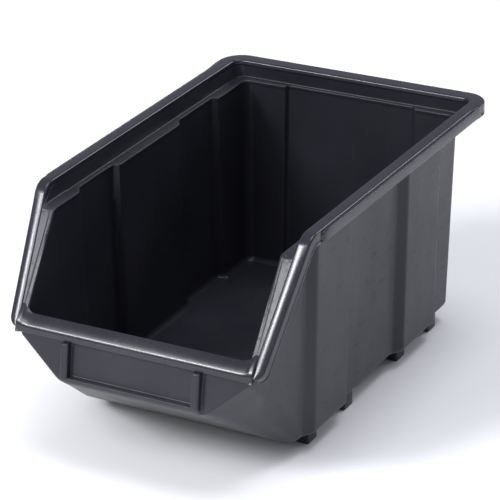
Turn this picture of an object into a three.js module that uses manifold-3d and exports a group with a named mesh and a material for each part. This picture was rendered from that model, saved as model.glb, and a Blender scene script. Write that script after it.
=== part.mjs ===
// Open-front stacking crate, injection moulded in one piece, as a three.js scene of named regions.
// Millimetres, +Z up, -Y is the open sloped front, the feet stand on z = 0.
import * as THREE from "three";
import { mergeVertices } from "three/addons/utils/BufferGeometryUtils.js";
import Module from "manifold-3d";

const wasm = await Module();
wasm.setup();

// ---- driving sizes ----
// Half widths are those at the back: narrowed() draws them in towards the front.
const WIDTH = 155; // over the rim strips
const LENGTH = 249.5; // front of the label sill to the back of the rim
const HEIGHT = 125; // feet to rim top
const WALL = 2; // moulded wall
const GAP = 0.3; // joint between two neighbouring regions

const BACK = LENGTH / 2; // back face of the rim
const FRONT = -LENGTH / 2; // front face of the label sill
const FOOT = 9; // height of the feet, so also the underside of the floor
const NARROWING = 0.0057; // how far each side comes in per mm towards the front
const SIDE_DRAFT = 0.02; // outward lean of the side walls per mm of height
const BACK_DRAFT = 0.042; // outward lean of the back wall per mm of height

// body at the underside of the floor
const PANEL_HALF = 61.9; // half width over the recessed panels
const RIB_STEP = 3.7; // how far a pilaster stands out
const BODY_BACK = 109.9; // outer face of the back wall beside its centre panel
const BODY_CORNER = 7; // plan radius of the back corners
const PILASTERS = [
  { name: "front", start: -63.5, end: -21.7 },
  { name: "rear", start: 37.3, end: 82.5 },
];
const PILASTER_RAMP = 6; // length of the slanted front face of a pilaster
const PILASTER_STEP = 1; // length of its steep rear face
const BACK_PANEL_HALF = 40; // half width of the raised centre of the back wall
const BACK_STEP = 2.4; // how far that centre stands out
const BACK_RAMP = 1.2;

// rim
const LEDGE_Z = 115.6; // stacking ledge
const BAND_HALF = 69.6; // inner face above the ledge, at the rim
const BAND_LEAN = 0.2; // inward lean of that face per mm below the rim
const BAND_BACK = 115.8;
const BAND_CORNER = 5;
const FLANGE_HALF = 75.9; // outer edge of the rim without its strip
const RIM_SKIN = 1.8; // thickness of the hanging rim edge
const RIM_CORNER = 14;
const SKIRT = 7; // depth of the rim edge
const STRIP_START = -71; // front end of the side strips
const STRIP_DROP = 1; // their top below the rim
const STRIP_RISE = 0.5; // their underside above the bottom of the rim edge

// sloped front
const SLOPE_TOP_Y = -79.5; // where the level rim meets the slope
const TIP_Y = -119.8; // front of the lip
const TIP_Z = 67; // top of the lip there
const SLOPE_BEND = 11; // radius of the bend at the top of the slope
const TIP_HALF = 69.6; // outer edge of the flange at its tip
const TIP_BAND = 64; // inner edge of its plate at the tip
const TIP_INNER = 62.9; // inner edge of the flange at its tip
const LEDGE_INNER = 63.6; // inner edge of the flange at the height of the ledge
const LIP_WIDTH = 8; // of the lip, measured along the slope
const LIP_DROP = 2.5; // height of its front edge
const LIP_CHAMFER = 1.2;

// nose below the lip
const PANEL_TOP_Y = -118.6; // outer face of the label panel at the lip
const PANEL_LOW_Y = -121.9; // and at its lower edge
const PANEL_LOW_Z = 43.6;
const PANEL_LOW_HALF = 39.8;
const NOSE_FOOT_Y = -71.7; // where the nose reaches the underside
const NOSE_FOOT_HALF = 53;
const CHEEK_Z = 64.8; // where a cheek meets the end of the lip
const CHEEK_Y = -119.4;
const CHEEK_FOOT_HALF = 57;

// label holder
const LABEL_HALF = 34; // half of the pocket
const LABEL_RIB = 4.3;
const LABEL_TOP_Y = -122.2; // front of a rib under the lip
const LABEL_FLOOR_Z = 47.9; // top of the sill
const LABEL_EDGE = 0.8; // chamfer under the sill

// feet: an L with its corner at the outside of the floor
const FOOT_HALF = 59.6; // outer face
const FOOT_REACH = 9.5; // length of each leg
const FOOT_LEG = 3; // thickness of a leg
const FOOT_CHAMFER = 1.5;
const FEET = [
  { name: "front_foot", corner: -53, turn: 1 },
  { name: "front_middle_foot", corner: -3.5, turn: -1 },
  { name: "rear_middle_foot", corner: 48.5, turn: 1 },
  { name: "rear_foot", corner: 97, turn: -1 },
];

const PLASTIC = { color: 0x1c1c20, roughness: 0.38, metalness: 0 };

// Sizes of the construction blocks, none of which is seen.
const REACH = 200; // beyond the crate on every side
const OVERRUN = 5; // how far an outline runs past the region cut from it
const WELD = 0.01; // overlap of two parts joined into one region
const ARC_STEPS = 8;

// ---- geometry helpers ----
function solid(geometry) {
  const g = geometry.clone();
  g.deleteAttribute("normal");
  g.deleteAttribute("uv");
  const merged = mergeVertices(g, 1e-4);
  return new wasm.Manifold(
    new wasm.Mesh({
      numProp: 3,
      vertProperties: new Float32Array(merged.attributes.position.array),
      triVerts: new Uint32Array(merged.index.array),
    }),
  );
}

// Moves every vertex of a geometry.
function warp(geometry, move) {
  const p = geometry.attributes.position;
  const v = new THREE.Vector3();
  for (let i = 0; i < p.count; i += 1) {
    v.fromBufferAttribute(p, i);
    move(v);
    p.setXYZ(i, v.x, v.y, v.z);
  }
  return geometry;
}

// The whole crate is a little narrower at the front than at the back.
function narrowed(geometry) {
  return warp(geometry, (v) => {
    v.x *= 1 - (NARROWING * (BACK - v.y)) / (WIDTH / 2);
  });
}

function meshOf(name, body) {
  const m = body.getMesh();
  const geometry = new THREE.BufferGeometry();
  geometry.setAttribute("position", new THREE.BufferAttribute(m.vertProperties, 3));
  geometry.setIndex(new THREE.BufferAttribute(m.triVerts, 1));
  narrowed(geometry).computeVertexNormals();
  const mesh = new THREE.Mesh(geometry, new THREE.MeshStandardMaterial(PLASTIC));
  mesh.name = name;
  return mesh;
}

function extrude(points, depth) {
  const shape = new THREE.Shape(points.map(([a, b]) => new THREE.Vector2(a, b)));
  return new THREE.ExtrudeGeometry(shape, { depth, bevelEnabled: false });
}

// Plan outline (x, y) raised from z0 to z1.
function prismZ(points, z0, z1) {
  return extrude(points, z1 - z0).translate(0, 0, z0);
}

// Side view outline (y, z) stretched from x0 to x1.
function prismX(points, x0, x1) {
  const g = extrude(points, x1 - x0);
  g.rotateY(Math.PI / 2).rotateX(Math.PI / 2);
  return g.translate(x0, 0, 0);
}

// Front view outline (x, z) stretched from the front to the middle of the crate.
function prismY(points) {
  return solid(extrude(points, REACH).rotateX(Math.PI / 2));
}

function box(x0, x1, y0, y1, z0, z1) {
  const g = new THREE.BoxGeometry(x1 - x0, y1 - y0, z1 - z0);
  return solid(g.translate((x0 + x1) / 2, (y0 + y1) / 2, (z0 + z1) / 2));
}

// A large block on the far side of the plane through three points, on the side that out points to.
function beyond(a, b, c, out) {
  const pa = new THREE.Vector3(...a);
  const n = new THREE.Vector3(...b).sub(pa).cross(new THREE.Vector3(...c).sub(pa)).normalize();
  if (n.dot(new THREE.Vector3(...out)) < 0) n.negate();
  const g = new THREE.BoxGeometry(2 * REACH, 2 * REACH, 2 * REACH);
  g.translate(0, 0, REACH);
  g.applyQuaternion(new THREE.Quaternion().setFromUnitVectors(new THREE.Vector3(0, 0, 1), n));
  return solid(g.translate(pa.x, pa.y, pa.z));
}

function mirrored(points) {
  return points.map(([x, y]) => [-x, y]).reverse();
}

// Points of a quarter circle about (cx, cy), anticlockwise from the +X side.
function quarter(cx, cy, r) {
  const points = [];
  for (let i = 0; i <= ARC_STEPS; i += 1) {
    const a = ((Math.PI / 2) * i) / ARC_STEPS;
    points.push([cx + r * Math.cos(a), cy + r * Math.sin(a)]);
  }
  return points;
}

// A plan with straight sides and round back corners.
function roundedPlan(halfWidth, front, back, r) {
  const right = [[halfWidth, front], ...quarter(halfWidth - r, back - r, r)];
  return [...right, ...mirrored(right)];
}

// The crate body in plan, with its pilasters, drawn in by inset.
function bodyPlan(inset) {
  const panel = PANEL_HALF - inset;
  const rib = panel + RIB_STEP;
  const back = BODY_BACK - inset;
  const right = [[panel, FRONT - OVERRUN]];
  for (const p of PILASTERS) {
    right.push([panel, p.start + inset], [rib, p.start + PILASTER_RAMP + inset]);
    right.push([rib, p.end - PILASTER_STEP - inset], [panel, p.end - inset]);
  }
  const r = BODY_CORNER - inset;
  right.push(...quarter(panel - r, back - r, r));
  const centre = BACK_PANEL_HALF - inset;
  right.push([centre, back], [centre - BACK_RAMP, back + BACK_STEP]);
  return [...right, ...mirrored(right)];
}

// Leans the walls outward above the underside of the floor.
function drafted(geometry) {
  const cornerStart = BODY_BACK - BODY_CORNER;
  return warp(geometry, (v) => {
    const rise = v.z - FOOT;
    if (Math.abs(v.x) > BACK_PANEL_HALF) v.x += Math.sign(v.x) * rise * SIDE_DRAFT;
    if (v.y > cornerStart - WALL) v.y += rise * BACK_DRAFT;
  });
}

// ---- slope and nose, in side view ----
const slopeDir = new THREE.Vector2(TIP_Y - SLOPE_TOP_Y, TIP_Z - HEIGHT).normalize();
const slopeNormal = new THREE.Vector2(slopeDir.y, -slopeDir.x); // out of the opening, up and forward

// Point at a depth below the slope's top face, at a distance up it from the tip.
function onSlope(fromTip, depth) {
  return [
    TIP_Y - slopeDir.x * fromTip - slopeNormal.x * depth,
    TIP_Z - slopeDir.y * fromTip - slopeNormal.y * depth,
  ];
}

function slopeY(z, depth) {
  const [y0, z0] = onSlope(0, depth);
  return y0 + ((z - z0) * slopeDir.x) / slopeDir.y;
}

// Level at height z, then a bend, then down the slope at a depth below its top face.
function rimPath(z, depth, startY, radius) {
  const cornerY = slopeY(z, depth);
  const turn = Math.atan2(-slopeDir.y, -slopeDir.x); // from level to the slope
  const run = radius * Math.tan(turn / 2);
  const points = [[startY, z]];
  for (let i = 0; i <= ARC_STEPS; i += 1) {
    const a = (turn * i) / ARC_STEPS;
    points.push([cornerY + run - radius * Math.sin(a), z - radius * (1 - Math.cos(a))]);
  }
  points.push(onSlope(0, depth));
  return points;
}

// Side view of a rim plate whose top face is depth below the rim.
function rimPlate(depth, thickness, startY) {
  const low = depth + thickness;
  const top = rimPath(HEIGHT - depth, depth, startY, SLOPE_BEND - depth);
  const under = rimPath(HEIGHT - low, low, startY, SLOPE_BEND - low);
  return [...top, ...under.reverse()];
}

// A prism along x between two half widths that come in to two others at the tip of the slope.
function towardsTip(outline, [innerTop, outerTop], [innerTip, outerTip]) {
  return warp(prismX(outline, innerTop, outerTop), (v) => {
    const down = THREE.MathUtils.clamp((HEIGHT - v.z) / (HEIGHT - TIP_Z), 0, 1.1);
    const across = (v.x - innerTop) / (outerTop - innerTop);
    const inner = THREE.MathUtils.lerp(innerTop, innerTip, down);
    const outer = THREE.MathUtils.lerp(outerTop, outerTip, down);
    v.x = THREE.MathUtils.lerp(inner, outer, across);
  });
}

const CLEAR = WALL + GAP; // the walls stop this far below the sloped flange

// Everything above the underside of the rim and of the sloped flange.
const aboveSlope = solid(
  prismX(
    [
      ...rimPath(HEIGHT - CLEAR, CLEAR, REACH, SLOPE_BEND - CLEAR),
      onSlope(-LIP_WIDTH * OVERRUN, CLEAR),
      [-REACH, REACH],
      [REACH, REACH],
    ].reverse(),
    -WIDTH,
    WIDTH,
  ),
);

// ---- the shell ----
const UNDER_LEDGE = LEDGE_Z - WALL;
const noseRise = (PANEL_LOW_Z - FOOT) / (NOSE_FOOT_Y - PANEL_LOW_Y); // slope of the nose underside
const panelTopZ = TIP_Z - LIP_DROP;
const panelLean = (PANEL_TOP_Y - PANEL_LOW_Y) / (panelTopZ - PANEL_LOW_Z);

const panelFaceY = (z) => PANEL_LOW_Y + (z - PANEL_LOW_Z) * panelLean;
const undersideZ = (y) => FOOT + (NOSE_FOOT_Y - y) * noseRise;

// Space behind the label panel and above the nose, with both faces drawn in by inset.
function behindNose(inset) {
  const lowY = PANEL_LOW_Y + inset;
  const rise = inset * Math.hypot(1, noseRise); // the underside drawn in, measured straight up
  const outline = [
    [REACH, -REACH],
    [REACH, REACH],
    [panelFaceY(REACH) + inset, REACH],
    [lowY, undersideZ(lowY) + rise],
    [NOSE_FOOT_Y + OVERRUN, undersideZ(NOSE_FOOT_Y + OVERRUN) + rise],
    [NOSE_FOOT_Y + OVERRUN, -REACH],
  ];
  return solid(prismX(outline, -WIDTH, WIDTH));
}

function filled(inset) {
  const plan = bodyPlan(inset);
  const top = UNDER_LEDGE + (inset > 0 ? 1 : 0);
  let body = solid(drafted(prismZ(plan, FOOT + inset, top))).intersect(behindNose(inset));
  for (const side of [1, -1]) {
    const corners = [
      [PANEL_LOW_HALF, PANEL_LOW_Y, PANEL_LOW_Z],
      [TIP_BAND, CHEEK_Y, CHEEK_Z],
      [CHEEK_FOOT_HALF, NOSE_FOOT_Y, FOOT],
    ].map(([x, y, z]) => [side * (x - inset), y + inset / 2, z + inset / 2]);
    body = body.subtract(beyond(...corners, [side, -1, -1]));
  }
  return body;
}

const shell = filled(0).subtract(filled(WALL)).subtract(aboveSlope);

const crate = new THREE.Group();
crate.name = "stacking_crate";

function add(name, body) {
  crate.add(meshOf(name, body));
}

// Adds a right-hand region and its mirror image.
function addPair(name, body) {
  add("right_" + name, body);
  add("left_" + name, body.mirror([1, 0, 0]));
}

const half = GAP / 2;
const FLOOR_TOP = FOOT + WALL;
const UNDER = FOOT - OVERRUN;
const NOSE_END = NOSE_FOOT_Y + WALL; // the nose keeps the first bit of floor behind its bend

// floor and nose
add("floor_pan", shell.intersect(box(-REACH, REACH, NOSE_END + half, REACH, UNDER, FLOOR_TOP)));

const underLip = box(-REACH, REACH, -REACH, TIP_Y + CLEAR + GAP, panelTopZ - GAP, REACH);
const noseBox = box(-REACH, REACH, -REACH, NOSE_END - half, UNDER, REACH);
const nose = shell.intersect(noseBox).subtract(underLip);
const noseMiddle = prismY([
  [-NOSE_FOOT_HALF + half, UNDER],
  [NOSE_FOOT_HALF - half, UNDER],
  [NOSE_FOOT_HALF - half, FOOT],
  [PANEL_LOW_HALF - half, PANEL_LOW_Z - half],
  [-PANEL_LOW_HALF + half, PANEL_LOW_Z - half],
  [-NOSE_FOOT_HALF + half, FOOT],
]);
add("nose_underside", nose.intersect(noseMiddle));

const panelBack = PANEL_LOW_Y + panelLean * (TIP_Z + LIP_WIDTH - PANEL_LOW_Z) + WALL;
const panelBlock = (grown) => box(-REACH, REACH, -REACH, panelBack + grown, PANEL_LOW_Z + half, REACH);
add("label_panel", nose.intersect(panelBlock(0)));

const cheekSide = prismY([
  [NOSE_FOOT_HALF + half, UNDER],
  [REACH, UNDER],
  [REACH, REACH],
  [PANEL_LOW_HALF + half, REACH],
  [PANEL_LOW_HALF + half, PANEL_LOW_Z],
  [NOSE_FOOT_HALF + half, FOOT],
]);
addPair("cheek", nose.intersect(cheekSide).subtract(panelBlock(GAP)));

// side walls
const cornerStart = BODY_BACK - BODY_CORNER;
const stops = [NOSE_END, ...PILASTERS.flatMap((p) => [p.start, p.end]), cornerStart];
const sideNames = [
  "front_side_panel",
  "front_pilaster",
  "middle_side_panel",
  "rear_pilaster",
  "rear_side_panel",
];
const wallBox = (x0, x1, y0, y1) => box(x0, x1, y0, y1, FLOOR_TOP + GAP, REACH);
sideNames.forEach((name, i) => {
  const region = wallBox(BACK_PANEL_HALF, REACH, stops[i] + half, stops[i + 1] - half);
  addPair(name, shell.intersect(region));
});

// back wall
const centreHalf = BACK_PANEL_HALF - half;
add("back_centre_panel", shell.intersect(wallBox(-centreHalf, centreHalf, cornerStart, REACH)));
const cornerBox = wallBox(BACK_PANEL_HALF + half, REACH, cornerStart + half, REACH);
addPair("back_corner", shell.intersect(cornerBox));

// ---- stacking ledge and band ----
function leaned(geometry) {
  return warp(geometry, (v) => {
    v.x -= Math.sign(v.x) * (HEIGHT - v.z) * BAND_LEAN;
  });
}

const bandOut = roundedPlan(BAND_HALF + WALL, FRONT, BAND_BACK + WALL, BAND_CORNER + WALL);
const bandIn = roundedPlan(BAND_HALF, FRONT - OVERRUN, BAND_BACK, BAND_CORNER);
const bandHole = solid(leaned(prismZ(bandIn, LEDGE_Z, HEIGHT + 1)));
const bandTop = HEIGHT - CLEAR;
const bandBlock = solid(leaned(prismZ(bandOut, UNDER_LEDGE + GAP, bandTop)));
const bodyHole = solid(drafted(prismZ(bodyPlan(WALL), FLOOR_TOP, HEIGHT)));
const upper = bandBlock.subtract(bandHole).subtract(bodyHole).subtract(aboveSlope);
const RAIL_END = BACK - RIM_CORNER - 3; // where the corner regions start
const CORNER_HALF = WIDTH / 2 - RIM_CORNER - 3;
const afterRail = (x0, x1) => box(x0, x1, RAIL_END + half, REACH, 0, REACH);
const ledgeHalf = CORNER_HALF - 3;
addPair("ledge_band", upper.intersect(box(0, REACH, -REACH, RAIL_END - half, 0, REACH)));
addPair("ledge_corner", upper.intersect(afterRail(ledgeHalf + half, REACH)));
add("back_ledge_band", upper.intersect(afterRail(-ledgeHalf + half, ledgeHalf - half)));

// ---- rim ----
const RAIL_START = SLOPE_TOP_Y + 12;
const plateZ = HEIGHT - WALL;
const edgeOut = roundedPlan(WIDTH / 2, FRONT, BACK, RIM_CORNER);
const edgeIn = roundedPlan(
  WIDTH / 2 - RIM_SKIN,
  FRONT - OVERRUN,
  BACK - RIM_SKIN,
  RIM_CORNER - RIM_SKIN,
);
const rimBlock = solid(prismZ(edgeOut, HEIGHT - SKIRT, HEIGHT));
const underPlate = solid(prismZ(edgeIn, HEIGHT - SKIRT - 1, plateZ));
const rimEnd = rimBlock.subtract(underPlate).subtract(bandHole);
add("back_rim_rail", rimEnd.intersect(afterRail(-CORNER_HALF + half, CORNER_HALF - half)));
addPair("rim_corner", rimEnd.intersect(afterRail(CORNER_HALF + half, REACH)));

const railBox = (x0, x1, z0, z1) => box(x0, x1, RAIL_START + half, RAIL_END - half, z0, z1);
const railPlate = railBox(PANEL_HALF, FLANGE_HALF, plateZ, HEIGHT).subtract(bandHole);
const railEdge = railBox(FLANGE_HALF - RIM_SKIN, FLANGE_HALF, HEIGHT - SKIRT, plateZ + WELD);
addPair("rim_rail", railPlate.add(railEdge));
const stripLow = HEIGHT - SKIRT + STRIP_RISE;
const strip = box(
  FLANGE_HALF + GAP,
  WIDTH / 2,
  STRIP_START,
  RAIL_END - half,
  stripLow,
  HEIGHT - STRIP_DROP,
);
addPair("rim_strip", strip);

// ---- sloped flange ----
const flangeStart = RAIL_START - half;
const flangePlate = towardsTip(
  rimPlate(0, WALL, flangeStart),
  [BAND_HALF, FLANGE_HALF],
  [TIP_BAND, TIP_HALF],
);
const flangeEdge = towardsTip(
  rimPlate(WALL - WELD, SKIRT - WALL, flangeStart),
  [FLANGE_HALF - RIM_SKIN, FLANGE_HALF],
  [TIP_HALF - RIM_SKIN, TIP_HALF],
);
const innerStrip = [
  [slopeY(LEDGE_Z, 0), LEDGE_Z],
  onSlope(0, 0),
  onSlope(0, WALL),
  [slopeY(LEDGE_Z, WALL), LEDGE_Z],
].reverse();
const flangeInner = towardsTip(
  innerStrip,
  [LEDGE_INNER, BAND_HALF + WALL],
  [TIP_INNER, TIP_BAND + WALL],
);
addPair("front_flange", solid(flangePlate).add(solid(flangeEdge)).add(solid(flangeInner)));

// ---- lip ----
const lipBack = TIP_Y + WALL;
const lip = prismX(
  [
    onSlope(LIP_WIDTH, 0),
    onSlope(LIP_CHAMFER, 0),
    [TIP_Y, TIP_Z - LIP_CHAMFER],
    [TIP_Y, panelTopZ],
    [lipBack, panelTopZ],
    [lipBack, TIP_Z - LIP_CHAMFER],
    onSlope(LIP_WIDTH, WALL),
  ],
  GAP - TIP_INNER,
  TIP_INNER - GAP,
);
add("front_lip", solid(lip));

// ---- label holder ----
const ribTop = panelTopZ - GAP;
const ribLow = LABEL_FLOOR_Z + GAP;
const ribFaceY = (z) =>
  THREE.MathUtils.mapLinear(z, LABEL_FLOOR_Z, ribTop, FRONT, LABEL_TOP_Y);
const rib = prismX(
  [
    [ribFaceY(ribLow), ribLow],
    [panelFaceY(ribLow) - GAP, ribLow],
    [panelFaceY(ribTop) - GAP, ribTop],
    [ribFaceY(ribTop), ribTop],
  ],
  LABEL_HALF,
  LABEL_HALF + LABEL_RIB,
);
addPair("label_rib", solid(rib));

const sillBack = PANEL_LOW_Y - GAP;
const sill = prismX(
  [
    [FRONT, undersideZ(FRONT) + LABEL_EDGE],
    [FRONT + LABEL_EDGE, undersideZ(FRONT + LABEL_EDGE)],
    [sillBack, undersideZ(sillBack)],
    [sillBack, PANEL_LOW_Z],
    [panelFaceY(LABEL_FLOOR_Z) - GAP, LABEL_FLOOR_Z],
    [FRONT, LABEL_FLOOR_Z],
  ],
  -LABEL_HALF - LABEL_RIB,
  LABEL_HALF + LABEL_RIB,
);
add("label_sill", solid(sill));

// ---- feet ----
const footIn = FOOT_HALF - FOOT_LEG;
const footFar = FOOT_HALF - FOOT_REACH;
for (const foot of FEET) {
  const plan = [
    [footFar, 0],
    [FOOT_HALF - FOOT_CHAMFER, 0],
    [FOOT_HALF, FOOT_CHAMFER],
    [FOOT_HALF, FOOT_REACH],
    [footIn, FOOT_REACH],
    [footIn, FOOT_LEG],
    [footFar, FOOT_LEG],
  ].map(([x, y]) => [x, foot.corner + foot.turn * y]);
  addPair(foot.name, solid(prismZ(foot.turn > 0 ? plan : plan.reverse(), 0, FOOT - GAP)));
}

export default crate;
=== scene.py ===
import math

import bmesh
import bpy
import numpy as np
from mathutils import Matrix, Vector


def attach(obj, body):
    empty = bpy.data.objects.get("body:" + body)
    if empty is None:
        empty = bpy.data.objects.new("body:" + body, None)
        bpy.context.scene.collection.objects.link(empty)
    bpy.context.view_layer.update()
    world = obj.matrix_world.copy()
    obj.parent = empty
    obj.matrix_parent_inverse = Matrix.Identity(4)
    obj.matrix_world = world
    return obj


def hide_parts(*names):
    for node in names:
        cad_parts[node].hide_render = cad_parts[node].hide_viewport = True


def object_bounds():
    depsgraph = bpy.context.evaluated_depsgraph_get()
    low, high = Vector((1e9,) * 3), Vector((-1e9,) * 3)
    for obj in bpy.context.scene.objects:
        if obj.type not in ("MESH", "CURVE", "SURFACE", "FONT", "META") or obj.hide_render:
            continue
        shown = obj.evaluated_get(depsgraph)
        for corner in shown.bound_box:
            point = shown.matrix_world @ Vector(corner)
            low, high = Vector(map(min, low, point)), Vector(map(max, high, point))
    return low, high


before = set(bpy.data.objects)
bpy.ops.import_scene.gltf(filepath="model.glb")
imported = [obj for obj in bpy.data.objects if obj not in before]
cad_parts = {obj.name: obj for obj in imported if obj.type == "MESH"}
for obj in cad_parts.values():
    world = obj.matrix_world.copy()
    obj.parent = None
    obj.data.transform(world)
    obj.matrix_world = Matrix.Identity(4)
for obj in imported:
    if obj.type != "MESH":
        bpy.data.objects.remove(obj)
CAD_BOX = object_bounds()

# ---- driving sizes, in millimetres ----
MM = 0.001
LOW, HIGH = (np.array(corner) / MM for corner in CAD_BOX)
BACK, FRONT, HEIGHT = HIGH[1], LOW[1], HIGH[2]
WIDTH = 155.0
NARROWING = 0.0057  # how far each side comes in per mm towards the front
WALL = 2.0
FOOT = 9.0
SIDE_DRAFT, BACK_DRAFT = 0.02, 0.042
PANEL_HALF, RIB_STEP = 61.9, 3.7
PILASTERS = ((-63.5, -21.7), (37.3, 82.5))
PILASTER_RAMP, PILASTER_STEP = 6.0, 1.0
BODY_BACK, BODY_CORNER = 109.9, 7.0
BACK_PANEL_HALF, BACK_STEP, BACK_RAMP = 40.0, 2.4, 1.2
LEDGE_Z = 115.6
BAND_HALF, BAND_LEAN, BAND_BACK, BAND_CORNER = 69.6, 0.2, 115.8, 5.0
RAIL_HALF, SKIRT, RIM_SKIN, RIM_EDGE = 75.9, 7.0, 1.8, 1.1
STRIP_START, STRIP_DROP = -71.0, 1.0
SLOPE_TOP_Y, TIP_Y, TIP_Z, SLOPE_BEND = -79.5, -119.8, 67.0, 11.0
TIP_HALF, TIP_BAND, STRIP_INNER = 69.6, 64.0, 62.9
LIP_WIDTH, LIP_DROP = 8.0, 2.5
PANEL_TOP_Y, PANEL_LOW_Y, PANEL_LOW_Z, PANEL_LOW_HALF = -118.6, -121.9, 43.6, 39.8
NOSE_FOOT_Y, CHEEK_FOOT_HALF = -71.7, 57.0
CHEEK_TOP = (64.0, -119.4, 64.8)
LABEL_HALF, LABEL_RIB, LABEL_TOP_Y, LABEL_FLOOR_Z = 34.0, 4.3, -122.2, 47.9
FOOT_HALF, FOOT_REACH, FOOT_LEG = 59.6, 9.5, 3.0
# each foot's corner along y, and which way the foot runs from there
FEET = {
    "front_foot": (-53.0, 1),
    "front_middle_foot": (-3.5, -1),
    "rear_middle_foot": (48.5, 1),
    "rear_foot": (97.0, -1),
}
FOOT_EDGE, FOOT_SOLE_EDGE = 0.8, 0.7
WALL_STOP, RING_STOP = 0.6, 1.5  # the walls end below the ledge, the ledge's ring below the rim's top
RAIL_SWELL, STRIP_RISE = (99, 108, 4), (97, 108, 4)  # start, end and softness along y
BULGE_INNER, BULGE_OUTER, BULGE_CREST = 0.12, 0.4, 0.35
TIP_ROUND, TIP_PULL = 5.0, 4.0
STRIP_EDGE, STRIP_LOW_EDGE, STRIP_TAPER, STRIP_TAPER_RUN = 0.6, 0.5, 1.4, 4.0
LIP_FILLET, LIP_OVERLAP, LIP_BACK_Y, LIP_BACK_LOW_Y = 6.0, 1.0, -116.9, -117.6
LIP_ARCS = ((22.6, 30, 46, 9), (3.0, 46, 90, 10))  # radius, start and end in degrees, steps

# fillets of the moulding; the cheek's grows from the lip down
CHEEK_ROUND_TOP, CHEEK_ROUND, CHEEK_ROUND_LOW = 1.5, 14.0, 5.0
CHEEK_ROUND_Z, CHEEK_LOW_Z, CHEEK_TURN = 38.0, 32.0, 12.0
NOSE_ROUND, BASE_ROUND, SILL_ROUND, LEDGE_ROUND, EDGE_ROUND = 8.0, 3.0, 6.0, 5.0, 0.8
# cosines of the angles between the faces that those fillets join
CHEEK_TO_SIDE, CHEEK_TO_NOSE, NOSE_TO_FLOOR, PANEL_TO_NOSE = 0.565, 0.81, 0.823, 0.567

# ---- looks ----
TINT_DARK, TINT_PALE = (0.0130, 0.0136, 0.0184, 1), (0.0228, 0.0235, 0.0308, 1)
CAMERA_YAW, CAMERA_PITCH, CAMERA_ROLL = 28.161, 24.07, -0.7  # degrees
CAMERA_TARGET, CAMERA_DISTANCE = (-12.54, 22.48, 60.0), 1.34543  # millimetres, metres
CAMERA_SENSOR, CAMERA_LENS = 36, 188.2872

slope_dir = np.array([TIP_Y - SLOPE_TOP_Y, TIP_Z - HEIGHT])
slope_dir /= np.linalg.norm(slope_dir)
slope_out = np.array([slope_dir[1], -slope_dir[0]])
nose_rise = (PANEL_LOW_Z - FOOT) / (NOSE_FOOT_Y - PANEL_LOW_Y)
panel_top_z = TIP_Z - LIP_DROP
panel_lean = (PANEL_TOP_Y - PANEL_LOW_Y) / (panel_top_z - PANEL_LOW_Z)


# ---- the moulding as a distance field ----
def both(a, b, r):
    """Inside both a and b, with the edge between them rounded to radius r."""
    return np.minimum(-r, np.maximum(a, b)) + np.hypot(np.maximum(a + r, 0), np.maximum(b + r, 0))


def blend(a, b, r, cosine):
    """Inside both a and b, rounded to radius r where the faces' normals meet at a known angle."""
    a, b = a + r, b + r
    corner = (a > cosine * b) & (b > cosine * a)
    span = np.sqrt(np.maximum(a * a + b * b - 2 * cosine * a * b, 0) / (1 - cosine**2))
    return np.where(corner, span, np.maximum(a, b)) - r


def either(a, b, r):
    return -both(-a, -b, r)


def less(a, b, r):
    return both(a, -b, r)


def ramp(v, start, end, soft):
    """0 before start, 1 after end, with both bends rounded over soft."""
    def area(t):
        return np.where(t < 0, 0, np.where(t < 1, t * t / 2, t - 0.5))
    t = (v - start) / (end - start)
    h = soft / abs(end - start) / 2
    return (area(t + h) - area(t - h)) / (2 * h)


def side(x, y, z, inset):
    out = PANEL_HALF - inset + (z - FOOT) * SIDE_DRAFT
    for start, end in PILASTERS:
        rise = ramp(y, start + inset / 2, start + PILASTER_RAMP + inset / 2, 2.4)
        fall = ramp(y, end - PILASTER_STEP - inset, end - inset, 1.4)
        out = out + RIB_STEP * (rise - fall)
    return x - out


def rear(x, y, z, inset):
    out = BODY_BACK - inset + (z - FOOT) * BACK_DRAFT
    edge = BACK_PANEL_HALF - inset
    return y - out - BACK_STEP * (1 - ramp(x, edge - BACK_RAMP, edge, 1.4))


def underside(y, z):
    return (FOOT + (NOSE_FOOT_Y - y) * nose_rise - z) / math.hypot(1, nose_rise)


def panel_face(z):
    return PANEL_LOW_Y + (z - PANEL_LOW_Z) * panel_lean


def cheek(x, y, z):
    """How far a point lies outside the plane between the label panel and the side."""
    a = np.array([PANEL_LOW_HALF, PANEL_LOW_Y, PANEL_LOW_Z])
    n = np.cross(np.array(CHEEK_TOP) - a, np.array([CHEEK_FOOT_HALF, NOSE_FOOT_Y, FOOT]) - a)
    n /= -np.linalg.norm(n)
    return (x - a[0]) * n[0] + (y - a[1]) * n[1] + (z - a[2]) * n[2]


def body(x, y, z, inset):
    walls = both(side(x, y, z, inset), rear(x, y, z, inset), BODY_CORNER - inset)
    low = blend(FOOT - z + inset, underside(y, z) + inset, NOSE_ROUND - inset, NOSE_TO_FLOOR)
    share = np.clip((walls - low) / CHEEK_TURN + 0.5, 0, 1)
    angle = CHEEK_TO_NOSE + (CHEEK_TO_SIDE - CHEEK_TO_NOSE) * share
    down = np.clip((CHEEK_TOP[2] - z) / (CHEEK_TOP[2] - CHEEK_ROUND_Z), 0, 1)
    radius = CHEEK_ROUND_TOP + (CHEEK_ROUND - CHEEK_ROUND_TOP) * down * down * (3 - 2 * down)
    toe = np.clip((CHEEK_LOW_Z - z) / (CHEEK_LOW_Z - FOOT), 0, 1)
    radius = radius + (CHEEK_ROUND_LOW - CHEEK_ROUND) * toe * toe * (3 - 2 * toe)
    tub = both(walls, low, BASE_ROUND)
    tub = blend(tub, cheek(x, y, z) + inset, np.maximum(radius - inset, 0.5), angle)
    return both(tub, (panel_face(z) - y) + inset, EDGE_ROUND + inset / 2)


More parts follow.
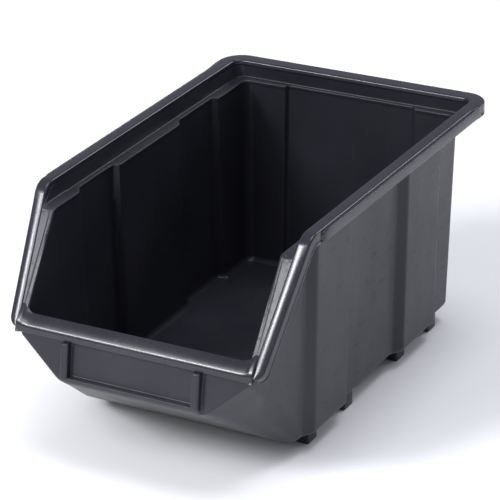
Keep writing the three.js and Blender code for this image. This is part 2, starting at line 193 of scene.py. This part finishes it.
def over_slope(y, z, depth):
    """Above the face that lies depth below the rim's top and the sloped front's top."""
    along = (y - TIP_Y) * slope_out[0] + (z - TIP_Z) * slope_out[1]
    return both(z - HEIGHT + depth, along + depth, SLOPE_BEND - depth)


def moulding(x, y, z):
    x = np.abs(x)
    inside = body(x, y, z, WALL)
    shell = less(body(x, y, z, 0.0), inside, 0.5)
    shell = np.maximum(shell, z - LEDGE_Z + WALL_STOP)
    lean = (HEIGHT - z) * BAND_LEAN
    ring = both(x - BAND_HALF - WALL + lean, y - BAND_BACK - WALL, BAND_CORNER + WALL)
    ring = both(ring, np.maximum(LEDGE_Z - WALL - z, z - HEIGHT + RING_STOP), EDGE_ROUND)
    top = over_slope(y, z, 0.6)
    bend = blend(top, z - LEDGE_Z, LEDGE_ROUND, slope_out[1])
    hole = both(both(x - BAND_HALF + lean, y - BAND_BACK, BAND_CORNER), -bend, 0.6)
    ring = less(less(ring, hole, EDGE_ROUND), inside, EDGE_ROUND)
    whole = either(shell, ring, 0.8)
    whole = both(whole, top, 0.6)
    down = np.clip((HEIGHT - z) / (HEIGHT - TIP_Z), 0, 1.1)
    outer = BAND_HALF + WALL + (TIP_BAND - BAND_HALF) * down
    sheet = both(bend, -bend - WALL, EDGE_ROUND)
    sheet = both(sheet, np.maximum(STRIP_INNER - x, x - outer), EDGE_ROUND)
    sheet = np.maximum(sheet, np.maximum(TIP_Z - LIP_DROP - z, y - PILASTERS[0][0] + WALL))
    whole = either(whole, sheet, 0.8)
    up = np.clip((z - LABEL_FLOOR_Z) / (panel_top_z - LABEL_FLOOR_Z), 0, 1)
    face = FRONT + (LABEL_TOP_Y - FRONT) * up
    holder = both(x - LABEL_HALF - LABEL_RIB, face - y, EDGE_ROUND)
    holder = both(holder, np.maximum(z - panel_top_z, y - PANEL_TOP_Y), 0.5)
    holder = blend(holder, underside(y, z), SILL_ROUND, PANEL_TO_NOSE)
    pocket = np.maximum(np.maximum(x - LABEL_HALF, LABEL_FLOOR_Z - z), y - panel_face(z))
    holder = less(holder, pocket, 0.5)
    return either(whole, holder, 0.5)


def lines(*spans):
    """Grid lines from (start, step) spans; the last entry is the end."""
    out = []
    for (start, step), nxt in zip(spans, spans[1:]):
        end = nxt[0] if isinstance(nxt, tuple) else nxt
        count = max(1, round((end - start) / step))
        out += list(np.linspace(start, end, count, endpoint=False))
    return np.array(out + [spans[-1]])


def surface(field, xs, ys, zs):
    """One quad mesh over the zero surface of a field on a grid: (points, quads, normals)."""
    shape = (len(xs), len(ys), len(zs))
    grid = np.meshgrid(xs, ys, zs, indexing="ij")
    value = field(*grid)
    inside = value < 0
    cells = tuple(n - 1 for n in shape)
    total, count = np.zeros(cells + (3,)), np.zeros(cells)
    edges = []
    for axis in range(3):
        first = tuple(slice(0, -1) if a == axis else slice(None) for a in range(3))
        second = tuple(slice(1, None) if a == axis else slice(None) for a in range(3))
        crossed = inside[first] != inside[second]
        share = np.where(crossed, value[first] / np.where(crossed, value[first] - value[second], 1), 0)
        spot = [grid[a][first] for a in range(3)]
        spot[axis] = spot[axis] + share * (grid[axis][second] - grid[axis][first])
        u, v = [a for a in range(3) if a != axis]
        for du in (0, 1):
            for dv in (0, 1):
                cut = [slice(None)] * 3
                cut[u] = slice(du, du + cells[u])
                cut[v] = slice(dv, dv + cells[v])
                cut = tuple(cut)
                count += crossed[cut]
                for a in range(3):
                    total[..., a] += np.where(crossed[cut], spot[a][cut], 0)
        edges.append((axis, u, v, crossed))
    active = count > 0
    index = np.full(cells, -1)
    index[active] = np.arange(active.sum())
    points = total[active] / count[active][:, None]
    quads = []
    for axis, u, v, crossed in edges:
        at = np.argwhere(crossed)
        at = at[(at[:, u] > 0) & (at[:, v] > 0) & (at[:, u] < cells[u]) & (at[:, v] < cells[v])]
        ring = []
        for du, dv in ((1, 1), (0, 1), (0, 0), (1, 0)):
            cell = at.copy()
            cell[:, u] -= du
            cell[:, v] -= dv
            ring.append(index[tuple(cell.T)])
        ring = np.stack(ring, axis=1)
        flip = inside[tuple(at.T)] == (axis == 1)
        ring[flip] = ring[flip][:, ::-1]
        quads.append(ring)
    quads = np.concatenate(quads)
    for _ in range(4):
        here = field(*points.T)
        slope = gradient(field, points)
        size = (slope**2).sum(axis=1)
        step = np.clip(here / np.maximum(size, 0.2), -0.4, 0.4)
        points = points - step[:, None] * slope
    normals = gradient(field, points)
    return points, quads, normals / np.linalg.norm(normals, axis=1)[:, None]


def gradient(field, points, reach=0.05):
    out = np.empty_like(points)
    for a in range(3):
        shift = np.zeros(3)
        shift[a] = reach
        out[:, a] = (field(*(points + shift).T) - field(*(points - shift).T)) / (2 * reach)
    return out


def narrowed(points):
    points = np.array(points, dtype=float)
    points[:, 0] *= 1 - NARROWING * (BACK - points[:, 1]) / (WIDTH / 2)
    return points * MM


def mesh_object(name, points, faces, material):
    mesh = bpy.data.meshes.new(name)
    mesh.from_pydata([tuple(p) for p in narrowed(points)], [], [tuple(int(i) for i in f) for f in faces])
    mesh.materials.append(material)
    mesh.polygons.foreach_set("use_smooth", [True] * len(mesh.polygons))
    obj = bpy.data.objects.new(name, mesh)
    bpy.context.scene.collection.objects.link(obj)
    return obj


def mirror_lines(right):
    return np.array(sorted(set(np.round(np.concatenate([-right, right]), 6))))


# ---- materials ----
def plastic(name, roughness, wear, grain, ior):
    mat = bpy.data.materials.new(name)
    mat.use_nodes = True
    nodes, links = mat.node_tree.nodes, mat.node_tree.links
    shader = nodes["Principled BSDF"]
    shader.inputs["IOR"].default_value = ior
    place = nodes.new("ShaderNodeTexCoord")

    def noise(scale, detail, stretch=(1, 1, 1)):
        mapping = nodes.new("ShaderNodeMapping")
        mapping.inputs["Scale"].default_value = stretch
        links.new(place.outputs["Object"], mapping.inputs["Vector"])
        tex = nodes.new("ShaderNodeTexNoise")
        tex.inputs["Scale"].default_value = scale
        tex.inputs["Detail"].default_value = detail
        links.new(mapping.outputs["Vector"], tex.inputs["Vector"])
        return tex.outputs["Fac"]

    def ranged(value, low, high, a=0.3, b=0.7):
        node = nodes.new("ShaderNodeMapRange")
        node.inputs["From Min"].default_value = a
        node.inputs["From Max"].default_value = b
        node.inputs["To Min"].default_value = low
        node.inputs["To Max"].default_value = high
        links.new(value, node.inputs["Value"])
        return node.outputs["Result"]

    def added(a, b, how="ADD"):
        node = nodes.new("ShaderNodeMath")
        node.operation = how
        links.new(a, node.inputs[0])
        links.new(b, node.inputs[1])
        return node.outputs[0]

    clouds = noise(18, 3)
    flow = noise(55, 4, (1, 1, 0.25))
    scuffs = noise(420, 3, (1, 0.25, 1))
    pores = noise(2600, 2)
    tint = nodes.new("ShaderNodeMixRGB")
    tint.inputs["Color1"].default_value = TINT_DARK
    tint.inputs["Color2"].default_value = TINT_PALE
    links.new(ranged(clouds, 0, 1), tint.inputs["Fac"])
    links.new(tint.outputs["Color"], shader.inputs["Base Color"])
    rough = added(ranged(flow, roughness - 0.04, roughness + 0.05), ranged(scuffs, 0, wear, 0.55, 0.75))
    links.new(rough, shader.inputs["Roughness"])
    height = added(ranged(pores, 0, grain), ranged(flow, 0, 2.2 * grain))
    bump = nodes.new("ShaderNodeBump")
    bump.inputs["Strength"].default_value = 0.35
    bump.inputs["Distance"].default_value = 0.00006
    links.new(height, bump.inputs["Height"])
    links.new(bump.outputs["Normal"], shader.inputs["Normal"])
    return mat


WALLS = plastic("moulded_walls", 0.34, 0.10, 1.0, 1.40)
RIM = plastic("moulded_rim", 0.22, 0.07, 0.5, 1.48)

# ---- the body ----
right_lines = lines((0, 4.5), (27, 1.0), (33, 0.75), (42, 0.9), (57, 0.8), 73)
y_lines = lines((FRONT - 0.7, 0.6), (-112, 0.9), (-56, 4), (-24, 0.6), (-20, 5), (36, 0.8), (45, 5),
                (79, 0.6), (83, 3), (101, 0.8), 119)
z_lines = lines((8.4, 0.7), (15, 0.9), (43, 0.6), (50, 0.9), (72, 1.5), (111, 0.6), 125.3)
points, quads, normals = surface(moulding, mirror_lines(right_lines), y_lines, z_lines)
crate_body = mesh_object("crate_body", points, quads, WALLS)
crate_body.data.normals_split_custom_set_from_vertices([tuple(n) for n in normals])


# ---- rim, swept round the opening ----
def quarter_turn(cx, cy, rx, ry, a0, a1, steps):
    angles = np.radians(np.linspace(a0, a1, steps))
    return [(cx + rx * math.cos(a), cy + ry * math.sin(a)) for a in angles]


def rim_profile(width, rounding):
    """Points out from the inner edge and down from the top; rounding is 1 on the sloped flange."""
    inner_drop, outer_drop, crest = BULGE_INNER * rounding, BULGE_OUTER * rounding, BULGE_CREST
    start = -RIM_EDGE * BAND_LEAN
    out = [(-2.6 * BAND_LEAN - 0.04, 2.6), (-1.9 * BAND_LEAN - 0.04, 1.9)]
    out += quarter_turn(start + RIM_EDGE, RIM_EDGE + inner_drop, RIM_EDGE, RIM_EDGE, 180, 270, 7)
    for t in np.linspace(0, 1, 15)[1:-1]:
        if t < crest:
            depth = inner_drop * ((crest - t) / crest) ** 2
        else:
            depth = outer_drop * ((t - crest) / (1 - crest)) ** 2
        out.append((start + RIM_EDGE + t * (width - 2 * RIM_EDGE - start), depth))
    out += quarter_turn(width - RIM_EDGE, RIM_EDGE + outer_drop, RIM_EDGE, RIM_EDGE, 270, 360, 7)
    out += [(width, 3.8), (width, SKIRT - 0.6)]
    out += quarter_turn(width - 0.6, SKIRT - 0.6, 0.6, 0.6, 0, 90, 4)
    skin = width - RIM_SKIN
    out += [(skin + 0.4, SKIRT), (skin, SKIRT - 0.4), (skin, 3.6), (skin - 0.6, 3.0), (1.0, 3.0)]
    return out


def rim_stations():
    """(inner edge point, outward and downward directions, width) from the back centre to the right tip."""
    stations = []
    cx, cy = BAND_HALF - BAND_CORNER, BAND_BACK - BAND_CORNER
    side_full, back_full = WIDTH / 2 - BAND_HALF, BACK - BAND_BACK
    down = np.array([0, 0, -1.0])
    for x in np.linspace(0, cx, 12):
        stations.append((np.array([x, BAND_BACK, HEIGHT]), np.array([0, 1.0, 0]), down, back_full))
    for a in np.radians(np.linspace(90, 0, 15))[1:]:
        n = np.array([math.cos(a), math.sin(a), 0])
        p = np.array([cx, cy, HEIGHT]) + BAND_CORNER * n
        stations.append((p, n, down, side_full + (back_full - side_full) * math.sin(a) ** 2))
    start = TIP_Y + (HEIGHT - TIP_Z) * slope_dir[0] / slope_dir[1]
    turn = math.atan2(-slope_dir[1], -slope_dir[0])
    run = SLOPE_BEND * math.tan(turn / 2)
    n = np.array([1.0, 0, 0])
    rail = RAIL_HALF - BAND_HALF
    for y in np.concatenate([np.linspace(cy, 98, 9)[1:], np.linspace(98, start + run, 14)[1:-1]]):
        t = float(ramp(np.array(y), *RAIL_SWELL))
        stations.append((np.array([BAND_HALF, y, HEIGHT]), n, down, rail + (side_full - rail) * t))
    path, downs = [], []
    for a in np.linspace(0, turn, 12):
        path.append((start + run - SLOPE_BEND * math.sin(a), HEIGHT - SLOPE_BEND * (1 - math.cos(a))))
        downs.append((math.sin(a), -math.cos(a)))
    y0, z0 = path[-1]
    length = math.hypot(y0 - TIP_Y, z0 - TIP_Z)
    straight = np.linspace(0, length - TIP_ROUND, 10)[1:]
    rounded = length - TIP_ROUND + TIP_ROUND * np.sin(np.radians(np.linspace(0, 84, 9)))[1:]
    for s in np.concatenate([straight, rounded]):
        path.append((y0 + slope_dir[0] * s, z0 + slope_dir[1] * s))
        downs.append(downs[-1])
    for (y, z), (dy, dz) in zip(path, downs):
        t = min(max((HEIGHT - z) / (HEIGHT - TIP_Z), 0), 1)
        inner = BAND_HALF + (TIP_BAND - BAND_HALF) * t
        outer = RAIL_HALF + (TIP_HALF - RAIL_HALF) * t
        left = math.hypot(y - TIP_Y, z - TIP_Z)
        if left < TIP_ROUND:
            outer -= TIP_PULL * (1 - math.sqrt(max(0, 1 - ((TIP_ROUND - left) / TIP_ROUND) ** 2)))
        stations.append((np.array([inner, y, z]), n, np.array([0, dy, dz]), outer - inner))
    return stations


def sweep(name, stations, profiles, material):
    """Skins a closed profile along stations (origin, across, down)."""
    points, faces = [], []
    size = len(profiles[0])
    for (origin, across, down), profile in zip(stations, profiles):
        points += [origin + across * a + down * b for a, b in profile]
    for i in range(len(stations) - 1):
        for j in range(size):
            k = (j + 1) % size
            faces.append((i * size + j, i * size + k, (i + 1) * size + k, (i + 1) * size + j))
    faces.append(tuple(range(size))[::-1])
    last = (len(stations) - 1) * size
    faces.append(tuple(last + j for j in range(size)))
    obj = mesh_object(name, points, faces, material)
    bm = bmesh.new()
    bm.from_mesh(obj.data)
    bmesh.ops.recalc_face_normals(bm, faces=bm.faces)
    bm.to_mesh(obj.data)
    bm.free()
    return obj


def bulge(point):
    """How rounded the rim's top is: almost flat round the opening, full down the slope."""
    return 0.1 + 0.9 * min(max((HEIGHT - 1 - point[2]) / 9, 0), 1)


right_half = rim_stations()
flip = np.array([-1.0, 1, 1])
left_half = [(p * flip, n * flip, d, w) for p, n, d, w in right_half[:0:-1]]
whole = left_half + right_half
rim_path = [(p, n, d) for p, n, d, w in whole]
rim_profiles = [rim_profile(w, bulge(p)) for p, n, d, w in whole]
crate_rim = sweep("crate_rim", rim_path, rim_profiles, RIM)


# ---- strips along the sides of the rim ----
def strip(sign):
    x0, x1 = RAIL_HALF - 0.8, WIDTH / 2
    stations, profiles = [], []
    n = np.array([float(sign), 0, 0])
    tapered = STRIP_START + np.array([0, 0.4, 0.9, 1.6, 2.5, STRIP_TAPER_RUN])
    for y in np.concatenate([tapered, np.linspace(-60, 95, 20), np.linspace(97, 109.5, 8)]):
        rise = float(ramp(np.array(y), *STRIP_RISE))
        drop = STRIP_DROP * (1 - rise) + 0.15 * rise
        shrink = STRIP_TAPER * max(0.0, 1 - (y - STRIP_START) / STRIP_TAPER_RUN) ** 2
        low = SKIRT - 0.5
        wide = x1 - x0 - shrink
        r, q = STRIP_EDGE, STRIP_LOW_EDGE
        profile = [(0, drop + shrink + 0.05), (wide - r, drop + shrink)]
        profile += quarter_turn(wide - r, drop + shrink + r, r, r, 270, 360, 5)[1:]
        profile += quarter_turn(wide - q, low - shrink - q, q, q, 0, 90, 4)
        profile += [(0, low - shrink)]
        stations.append((np.array([sign * x0, y, HEIGHT]), n, np.array([0, 0, -1.0])))
        profiles.append(profile)
    return sweep(("right" if sign > 0 else "left") + "_strip", stations, profiles, RIM)


strips = [strip(1), strip(-1)]


# ---- lip across the front ----
def lip_roll():
    """The lip's outside from its inner edge to its front face, each way scaled to 0..1."""
    spot, roll = np.zeros(2), [np.zeros(2)]
    for radius, start, end, steps in LIP_ARCS:
        for a, b in zip(np.linspace(start, end, steps)[:-1], np.linspace(start, end, steps)[1:]):
            a, b = math.radians(a), math.radians(b)
            spot = spot + radius * np.array([math.sin(b) - math.sin(a), math.cos(a) - math.cos(b)])
            roll.append(spot)
    return [tuple(p / spot) for p in roll]


def lip():
    stations, profiles = [], []
    reach = TIP_BAND + LIP_OVERLAP
    start = STRIP_INNER - LIP_FILLET
    front, face_top = TIP_Y - 0.4, panel_top_z + 2.4
    middle = np.linspace(-start, start, 23)[1:-1]
    for x in np.concatenate([-np.linspace(reach, start, 18), middle, np.linspace(start, reach, 18)]):
        corner = min(max(0.0, abs(x) - start), LIP_FILLET * 0.98)
        top = LIP_WIDTH + LIP_FILLET - math.sqrt(LIP_FILLET**2 - corner**2)
        y0, z0 = TIP_Y - slope_dir[0] * top - slope_out[0], TIP_Z - slope_dir[1] * top - slope_out[1]
        profile = [(LIP_BACK_Y, panel_top_z + 0.6), (y0 + 0.1, z0 - 3.0)]
        profile += [(y0 + 0.6, z0 - 1.8), (y0 + 0.75, z0 - 1.0), (y0 + 0.55, z0 - 0.4)]
        profile += [(y0 + (front - y0) * u, z0 + (face_top - z0) * v) for u, v in lip_roll()]
        profile += quarter_turn(front + 0.6, panel_top_z + 0.6, 0.6, 0.6, 180, 270, 4)
        profile += [(LIP_BACK_LOW_Y, panel_top_z)]
        stations.append((np.array([x, 0, 0]), np.array([0, 1.0, 0]), np.array([0, 0, 1.0])))
        profiles.append(profile)
    return sweep("crate_lip", stations, profiles, RIM)


crate_lip = lip()


# ---- feet ----
def foot(name, corner, turn, sign):
    inner, far = FOOT_HALF - FOOT_LEG, FOOT_HALF - FOOT_REACH
    plan = [(far, 0), (FOOT_HALF, 0), (FOOT_HALF, FOOT_REACH)]
    plan += [(inner, FOOT_REACH), (inner, FOOT_LEG), (far, FOOT_LEG)]
    plan = [(sign * x, corner + turn * y) for x, y in plan]
    bm = bmesh.new()
    low = [bm.verts.new((x, y, 0)) for x, y in plan]
    high = [bm.verts.new((x, y, FOOT + 1)) for x, y in plan]
    bm.faces.new(low)
    bm.faces.new(high[::-1])
    for i in range(len(plan)):
        j = (i + 1) % len(plan)
        bm.faces.new((low[i], low[j], high[j], high[i]))
    bmesh.ops.recalc_face_normals(bm, faces=bm.faces)
    upright = [e for e in bm.edges if abs(e.verts[0].co.z - e.verts[1].co.z) > 1]
    bmesh.ops.bevel(bm, geom=upright, offset=FOOT_EDGE, segments=4, profile=0.5, affect="EDGES")
    base = [e for e in bm.edges if max(v.co.z for v in e.verts) < 0.01]
    bmesh.ops.bevel(bm, geom=base, offset=FOOT_SOLE_EDGE, segments=4, profile=0.5, affect="EDGES")
    for v in bm.verts:
        v.co.x *= 1 - NARROWING * (BACK - v.co.y) / (WIDTH / 2)
        v.co *= MM
    mesh = bpy.data.meshes.new(name)
    bm.to_mesh(mesh)
    bm.free()
    mesh.materials.append(WALLS)
    mesh.polygons.foreach_set("use_smooth", [True] * len(mesh.polygons))
    mesh.set_sharp_from_angle(angle=math.radians(35))
    obj = bpy.data.objects.new(name, mesh)
    bpy.context.scene.collection.objects.link(obj)
    return obj


feet = []
for name, (corner, turn) in FEET.items():
    for word, sign in (("right", 1), ("left", -1)):
        piece = foot(f"{word}_{name}_piece", corner, turn, sign)
        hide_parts(f"{word}_{name}")
        feet.append(piece)


def sided(*names):
    return [f"{word}_{name}" for word in ("right", "left") for name in names]


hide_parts("floor_pan", "nose_underside", "label_panel", "label_sill", "back_centre_panel",
            "back_ledge_band", *sided("cheek", "front_side_panel", "front_pilaster", "middle_side_panel",
                                      "rear_pilaster", "rear_side_panel", "back_corner", "ledge_band",
                                      "ledge_corner", "label_rib"))
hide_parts("back_rim_rail", *sided("rim_corner", "rim_rail", "front_flange"))
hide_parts("right_rim_strip")
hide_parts("left_rim_strip")
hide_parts("front_lip")
for piece in [crate_body, crate_rim, crate_lip, *strips, *feet]:
    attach(piece, "root")


# ---- floor, light and camera ----
def floor():
    mesh = bpy.data.meshes.new("floor")
    far = 6.0
    mesh.from_pydata([(-far, -far, 0), (far, -far, 0), (far, far, 0), (-far, far, 0)], [], [(0, 1, 2, 3)])
    mat = bpy.data.materials.new("pale_floor")
    mat.use_nodes = True
    shader = mat.node_tree.nodes["Principled BSDF"]
    shader.inputs["Base Color"].default_value = (0.9, 0.9, 0.9, 1)
    shader.inputs["Roughness"].default_value = 0.9
    shader.inputs["Specular IOR Level"].default_value = 0.1
    mesh.materials.append(mat)
    obj = bpy.data.objects.new("floor", mesh)
    bpy.context.scene.collection.objects.link(obj)


def sun(name, direction, strength, angle):
    """A far soft light that shines from a direction."""
    data = bpy.data.lights.new(name, "SUN")
    data.energy = strength
    data.angle = math.radians(angle)
    data.color = (0.97, 0.98, 1.05)
    obj = bpy.data.objects.new(name, data)
    obj.rotation_euler = (-Vector(direction)).to_track_quat("-Z", "Y").to_euler()
    bpy.context.scene.collection.objects.link(obj)


def softbox(name, place, target, size, power):
    """A square light near the front of the crate, for the floor there and the edges that face it."""
    data = bpy.data.lights.new(name, "AREA")
    data.size = size
    data.energy = power
    obj = bpy.data.objects.new(name, data)
    obj.location = place
    obj.rotation_euler = (Vector(target) - Vector(place)).to_track_quat("-Z", "Y").to_euler()
    bpy.context.scene.collection.objects.link(obj)


def camera():
    yaw, pitch, roll = (math.radians(a) for a in (CAMERA_YAW, CAMERA_PITCH, CAMERA_ROLL))
    target = Vector(CAMERA_TARGET) * MM
    away = Vector((math.sin(yaw) * math.cos(pitch), -math.cos(yaw) * math.cos(pitch), math.sin(pitch)))
    data = bpy.data.cameras.new("camera")
    data.sensor_width = CAMERA_SENSOR
    data.lens = CAMERA_LENS
    data.clip_start, data.clip_end = 0.05, 50
    obj = bpy.data.objects.new("camera", data)
    right = (-away).cross(Vector((0, 0, 1))).normalized()
    up = right.cross(-away)
    r2 = math.cos(roll) * right + math.sin(roll) * up
    u2 = -math.sin(roll) * right + math.cos(roll) * up
    turn = Matrix((r2, u2, away)).transposed()
    obj.matrix_world = Matrix.Translation(target + away * CAMERA_DISTANCE) @ turn.to_4x4()
    bpy.context.scene.collection.objects.link(obj)
    bpy.context.scene.camera = obj


floor()
world = bpy.data.worlds.new("studio")
world.use_nodes = True
world.node_tree.nodes["Background"].inputs["Color"].default_value = (0.93, 0.95, 1.06, 1)
world.node_tree.nodes["Background"].inputs["Strength"].default_value = 0.36
bpy.context.scene.world = world
sun("key", (-0.43, -0.66, 0.61), 1.5, 13)
sun("top", (0.1, 0.1, 1.0), 1.5, 35)
sun("rim", (0.41, 0.81, 0.43), 0.5, 20)
softbox("front", (-0.15, -0.45, 0.35), (-0.08, -0.25, 0.0), 0.25, 1.5)
camera()
bpy.context.scene.view_settings.view_transform = "Standard"
